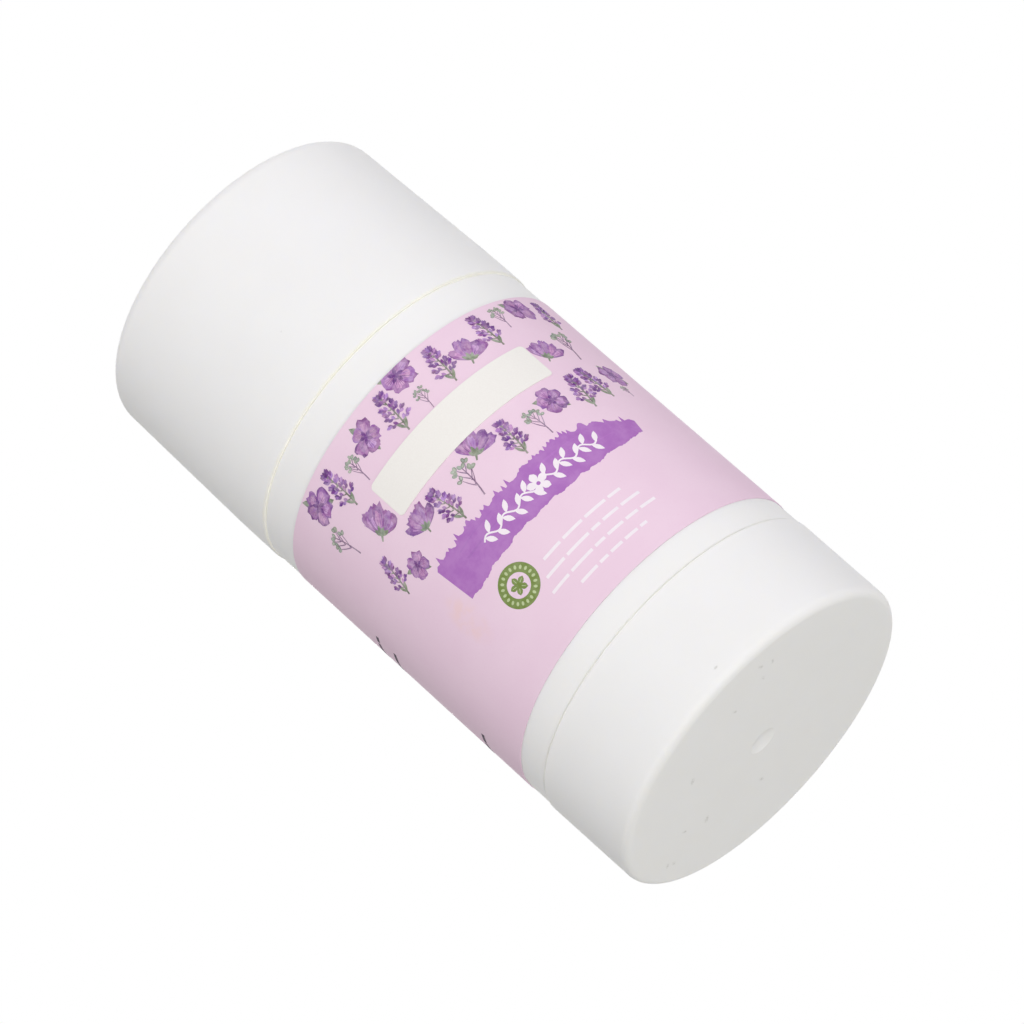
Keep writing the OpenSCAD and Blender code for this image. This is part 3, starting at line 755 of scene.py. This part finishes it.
def garland(length):
    """A waving stem with leaves by turns above and below, and a small flower in its middle."""
    art = Print(GARLAND_LEVEL)
    n = 60
    swing = 0.5
    waves = 6

    def on_stem(t):
        return length * (t - 0.5), swing * math.sin(2 * math.pi * waves * t)

    art.add(ribbon([on_stem(i / n) for i in range(n + 1)], 0.26, 0.26), PALE)
    leaves = 24
    for k in range(leaves):
        at = on_stem((k + 0.5) / leaves)
        side = 1 if k % 2 else -1
        if abs(at[0]) > 0.06 * length:
            art.add(lens(1.9, 0.8), PALE, at, -90 + side * 56)
    for k in range(5):
        art.add(lens(1.75, 1.15, belly=0.65), PALE, (0, 0), 72 * k)
    art.add(ellipse(0.3, 0.3, 10), BRUSH)
    return art


# Rows as (share of the label's height, angle of the right end, share of the full length)
BACK_RULES = [
    (0.631, -73, 1), (0.555, -74, 1), (0.478, -92, 0.7), (0.402, -90, 0.73), (0.326, -90, 0.73),
    (0.25, -91, 0.6), (0.168, -72, 1),
]
BACK_RULE_L = 30
BACK_RULE_H = 0.5


def back_print(material):
    """The back panel's rows of dark bars."""
    rng = random.Random(9)
    art = Print()
    for share, angle, length in BACK_RULES:
        middle = math.radians(angle) * label_r - BACK_RULE_L * length / 2
        height = (label_z1 - label_z0) * share
        bars(art, middle, height, BACK_RULE_L * length, BACK_RULE_H, DARK, rng)
    return art.build("back_ink", "back_print", "ink_dark", material)


# Each piece's side of a joint, as (reach of the tint in mm, its strength, painted glow in the gap)
CAP_SEAM = (0.5, 0.45, 0.17)
BARREL_TOP_SEAM = (0.7, 0.55, 0.14)
BARREL_LOW_SEAM = (0.5, 0.2, 0.24)
BASE_SEAM = (0.4, 0.2, 0.13)

# Small marks on the foot, as (x, y, length in mm, turn in degrees)
FOOT_SCUFFS = [
    (-10, -9.7, 1.9, 25), (-3.9, 9.5, 1.6, -10), (-12.7, 3.9, 1.9, 30), (-15.8, 0.7, 1.3, -20),
    (-20.8, 4.6, 1.5, 35), (-20, 5.7, 1.3, 0), (6.9, -19, 1.6, -15), (8.5, -17.2, 1.5, 20),
    (6.1, -15.7, 1.4, 10), (0.4, -15.2, 1.4, -25),
]
SMUDGE_ANGLE = -33
SMUDGE_HEIGHT = 14.2


def dress():
    """Gives every piece its finish."""
    seam_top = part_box("cap")[0].z
    seam_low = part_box("turning_base")[1].z
    scuffs = [
        ((x * MM, y * MM, 0), length, 0.5 * length, turn) for x, y, length, turn in FOOT_SCUFFS
    ]
    cap_speck = ((-1.7 * MM, -24.9 * MM, seam_top + 9.9 * MM), 0.7, 0.5, 90)
    base_speck = ((3 * MM, -24.8 * MM, 2.4 * MM), 0.8, 0.5, 90)
    cap_seams = [(seam_top, *CAP_SEAM)]
    base_seams = [(seam_low, *BASE_SEAM)]
    barrel_seams = [(seam_top, *BARREL_TOP_SEAM), (seam_low, *BARREL_LOW_SEAM)]
    finishes = {
        "cap": white_plastic("cap_white", outer_radius("cap"), cap_seams, [cap_speck]),
        "barrel": white_plastic("barrel_white", outer_radius("barrel"), barrel_seams),
        "turning_base": white_plastic(
            "base_white", outer_radius("turning_base"), base_seams, scuffs + [base_speck]),
        "stick": wax(),
        "label": label_film(drum_point(math.radians(SMUDGE_ANGLE) * label_r, SMUDGE_HEIGHT, 0)),
        "blank_strip": strip_film(),
    }
    inner = inner_plastic()
    finishes.update(spindle=inner, platform=inner)
    for node, material in finishes.items():
        for slot in nodes[node].material_slots:
            slot.material = material

    wash = ink("watercolour")
    brush_band(ink("brush", 0.3, 2.5))
    blossom_print(wash)
    spray_print(wash)
    twig_print(wash)
    badge_print(ink("badge", 0.3))
    line_print(ink("pale", 0.15))
    back_print(ink("dark", 0.15))


dress()


# Floor, lights and background

def lamp(name, direction, distance, size, power, colour, sheen=True):
    """A square soft light that faces the middle of the object, with or without its sheen on it."""
    data = bpy.data.lights.new(name, "AREA")
    data.shape = "SQUARE"
    data.size = size
    data.energy = power
    data.color = colour
    obj = bpy.data.objects.new(name, data)
    bpy.context.scene.collection.objects.link(obj)
    obj.visible_glossy = sheen
    way = Vector(direction).normalized()
    facing = way.to_track_quat("Z", "Y").to_matrix().to_4x4()
    obj.matrix_world = Matrix.Translation(AIM + way * distance) @ facing


def background(light):
    """A world that lights softly and looks white to the camera and in reflections."""
    world = bpy.data.worlds.new("world")
    bpy.context.scene.world = world
    world.use_nodes = True
    tree = world.node_tree
    soft = tree.nodes["Background"]
    soft.inputs["Color"].default_value = (*light, 1)
    white = tree.nodes.new("ShaderNodeBackground")
    white.inputs["Color"].default_value = (1, 1, 1, 1)
    path = tree.nodes.new("ShaderNodeLightPath")
    seen = path.outputs["Is Camera Ray"]
    for ray in ("Is Glossy Ray", "Is Transmission Ray"):
        either = tree.nodes.new("ShaderNodeMath")
        either.operation = "MAXIMUM"
        tree.links.new(seen, either.inputs[0])
        tree.links.new(path.outputs[ray], either.inputs[1])
        seen = either.outputs[0]
    mix = tree.nodes.new("ShaderNodeMixShader")
    tree.links.new(seen, mix.inputs[0])
    tree.links.new(soft.outputs[0], mix.inputs[1])
    tree.links.new(white.outputs[0], mix.inputs[2])
    tree.links.new(mix.outputs[0], tree.nodes["World Output"].inputs["Surface"])


# How far off, in metres, the floor starts to turn white and is all white
SWEEP = (0.1, 0.55)


def floor(size, level, glow):
    """A pale floor under the object's shadow, white further off and clear from below."""
    mesh = bpy.data.meshes.new("floor")
    half = size / 2
    corners = ((-half, -half), (half, -half), (half, half), (-half, half))
    mesh.from_pydata([(x, y, level) for x, y in corners], [], [(0, 1, 2, 3)])
    obj = bpy.data.objects.new("floor", mesh)
    bpy.context.scene.collection.objects.link(obj)
    g = Graph("floor", roughness=0.9)
    g.shader.inputs["Base Color"].default_value = (0.85, 0.85, 0.85, 1)
    g.shader.inputs["Emission Color"].default_value = (1, 1, 1, 1)
    g.shader.inputs["Emission Strength"].default_value = glow
    white = g.add("ShaderNodeEmission", {"Color": (1, 1, 1, 1), "Strength": 1.0})
    sweep = g.blend(g.span(g.length(g.place()), *SWEEP), g.shader, white)
    geometry = g.add("ShaderNodeNewGeometry")
    mix = g.blend(geometry.outputs["Backfacing"], sweep, g.add("ShaderNodeBsdfTransparent"))
    g.tree.links.new(mix.outputs[0], g.tree.nodes["Material Output"].inputs["Surface"])
    mesh.materials.append(g.material)
    obj.visible_diffuse = False
    obj.visible_shadow = False


lamp("right_key", (0.995, -0.105, 0), 0.9, 0.7, 3.4, (0.965, 0.95, 1.0))
lamp("front_key", (-0.11, -0.846, 0.521), 0.9, 0.7, 4.45, (0.985, 0.973, 1.0))
lamp("low_fill", (-0.074, -0.525, -0.848), 0.9, 0.8, 4.7, (1.0, 0.99, 0.957))
lamp("back_fill", (-0.2, 0.93, 0.35), 1.0, 0.3, 6.2, (1.0, 0.993, 0.98), sheen=False)
background((0.298, 0.296, 0.285))
floor(3.0, -0.2 * MM, 0.1)

bpy.context.scene.view_settings.view_transform = "Standard"
